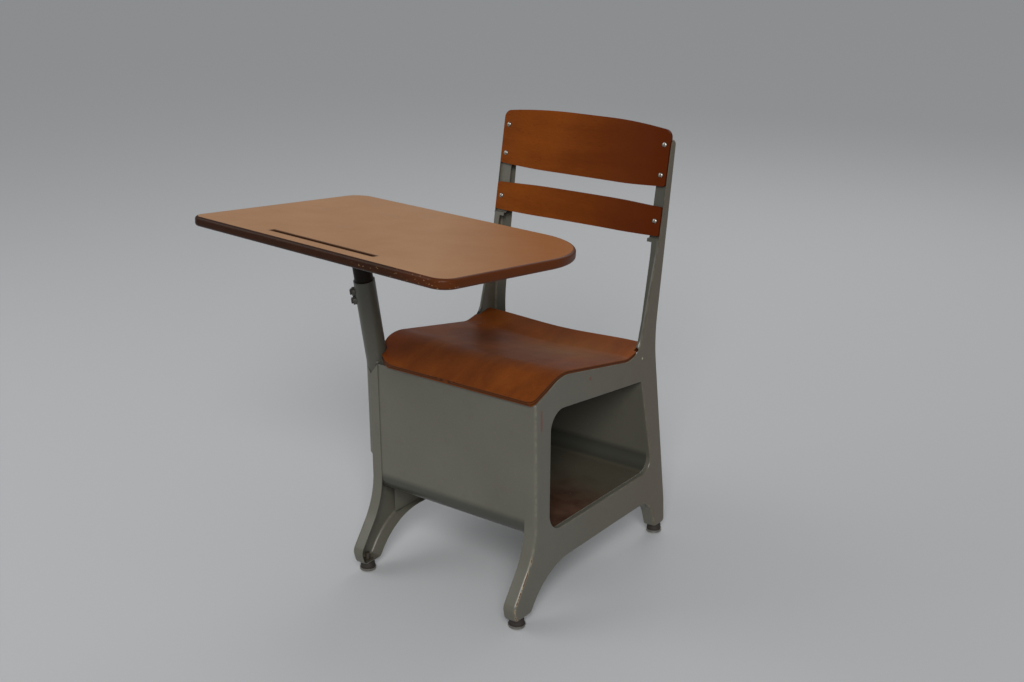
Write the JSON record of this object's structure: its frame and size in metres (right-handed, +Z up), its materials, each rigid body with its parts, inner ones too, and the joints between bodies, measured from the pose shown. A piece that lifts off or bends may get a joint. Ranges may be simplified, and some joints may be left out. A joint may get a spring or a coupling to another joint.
{
  "type": "school desk",
  "caption": "Chair-desk on two pressed steel side frames with a book box under the moulded seat and a sloping writing tablet on an adjustable post at one side.",
  "frame": {"origin": "on the floor, midway between the four glides", "axes": "+Z up; the sitter faces -Y; +X is the sitter's left"},
  "size_m": [0.6002, 0.7625, 0.7929],
  "materials": {
    "frame_enamel": "gloss enamel, worn at the edges",
    "lacquered_plywood": "moulded plywood, satin lacquer",
    "tablet_core": "dark stained and lacquered edge",
    "tablet_laminate": "satin tan laminate",
    "dark_steel": "dark satin",
    "plated_steel": "dull plated steel",
    "glide_rubber": "matt rubber"
  },
  "bodies": {
    "chair": {"left_side_frame": "frame_enamel", "right_side_frame": "frame_enamel", "book_box": "frame_enamel", "right_box_liner": "frame_enamel", "seat_panel": "lacquered_plywood", "seat_screws": "plated_steel", "upper_back_slat": "lacquered_plywood", "lower_back_slat": "lacquered_plywood", "upper_slat_rivets": "plated_steel", "lower_slat_rivets": "plated_steel", "front_left_foot_plate": "frame_enamel", "rear_left_foot_plate": "frame_enamel", "front_right_foot_plate": "frame_enamel", "rear_right_foot_plate": "frame_enamel", "post_tube": "frame_enamel"},
    "stem": {"tablet_stem": "dark_steel"},
    "tablet": {"tablet_top": "tablet_core", "tablet_laminate": "tablet_laminate", "tablet_bracket": "dark_steel", "tablet_bracket_screws": "plated_steel"},
    "upper_clamp": {"upper_clamp_screw": "plated_steel"},
    "lower_clamp": {"lower_clamp_screw": "plated_steel"},
    "front_left_glide": {"front_left_glide_cup": "plated_steel", "front_left_glide_cushion": "glide_rubber", "front_left_glide_stem": "plated_steel"},
    "rear_left_glide": {"rear_left_glide_cup": "plated_steel", "rear_left_glide_cushion": "glide_rubber", "rear_left_glide_stem": "plated_steel"},
    "front_right_glide": {"front_right_glide_cup": "plated_steel", "front_right_glide_cushion": "glide_rubber", "front_right_glide_stem": "plated_steel"},
    "rear_right_glide": {"rear_right_glide_cup": "plated_steel", "rear_right_glide_cushion": "glide_rubber", "rear_right_glide_stem": "plated_steel"}
  },
  "joints": [
    {"name": "tablet_height", "type": "slide", "parent": "chair", "child": "stem", "axis": [0, -0.1616, 0.9869], "range_m": [-0.05, 0.06]},
    {"name": "tablet_swivel", "type": "hinge", "parent": "stem", "child": "tablet", "pos_m": [-0.179, -0.21161, 0.66614], "axis": [0, -0.1616, 0.9869], "range_deg": [-110, 25]},
    {"name": "upper_clamp_turn", "type": "hinge", "parent": "chair", "child": "upper_clamp", "pos_m": [-0.179, -0.18931, 0.52995], "axis": [-0.8024, -0.5889, -0.0964], "range_deg": [-90, 720]},
    {"name": "lower_clamp_turn", "type": "hinge", "parent": "chair", "child": "lower_clamp", "pos_m": [-0.179, -0.18656, 0.51317], "axis": [-0.8024, -0.5889, -0.0964], "range_deg": [-90, 720]},
    {"name": "front_left_glide_turn", "type": "hinge", "parent": "chair", "child": "front_left_glide", "pos_m": [0.1719, -0.2223, 0], "axis": [0, 0, 1], "continuous": true},
    {"name": "rear_left_glide_turn", "type": "hinge", "parent": "chair", "child": "rear_left_glide", "pos_m": [0.1719, 0.2223, 0], "axis": [0, 0, 1], "continuous": true},
    {"name": "front_right_glide_turn", "type": "hinge", "parent": "chair", "child": "front_right_glide", "pos_m": [-0.1719, -0.2223, 0], "axis": [0, 0, 1], "continuous": true},
    {"name": "rear_right_glide_turn", "type": "hinge", "parent": "chair", "child": "rear_right_glide", "pos_m": [-0.1719, 0.2223, 0], "axis": [0, 0, 1], "continuous": true}
  ]
}
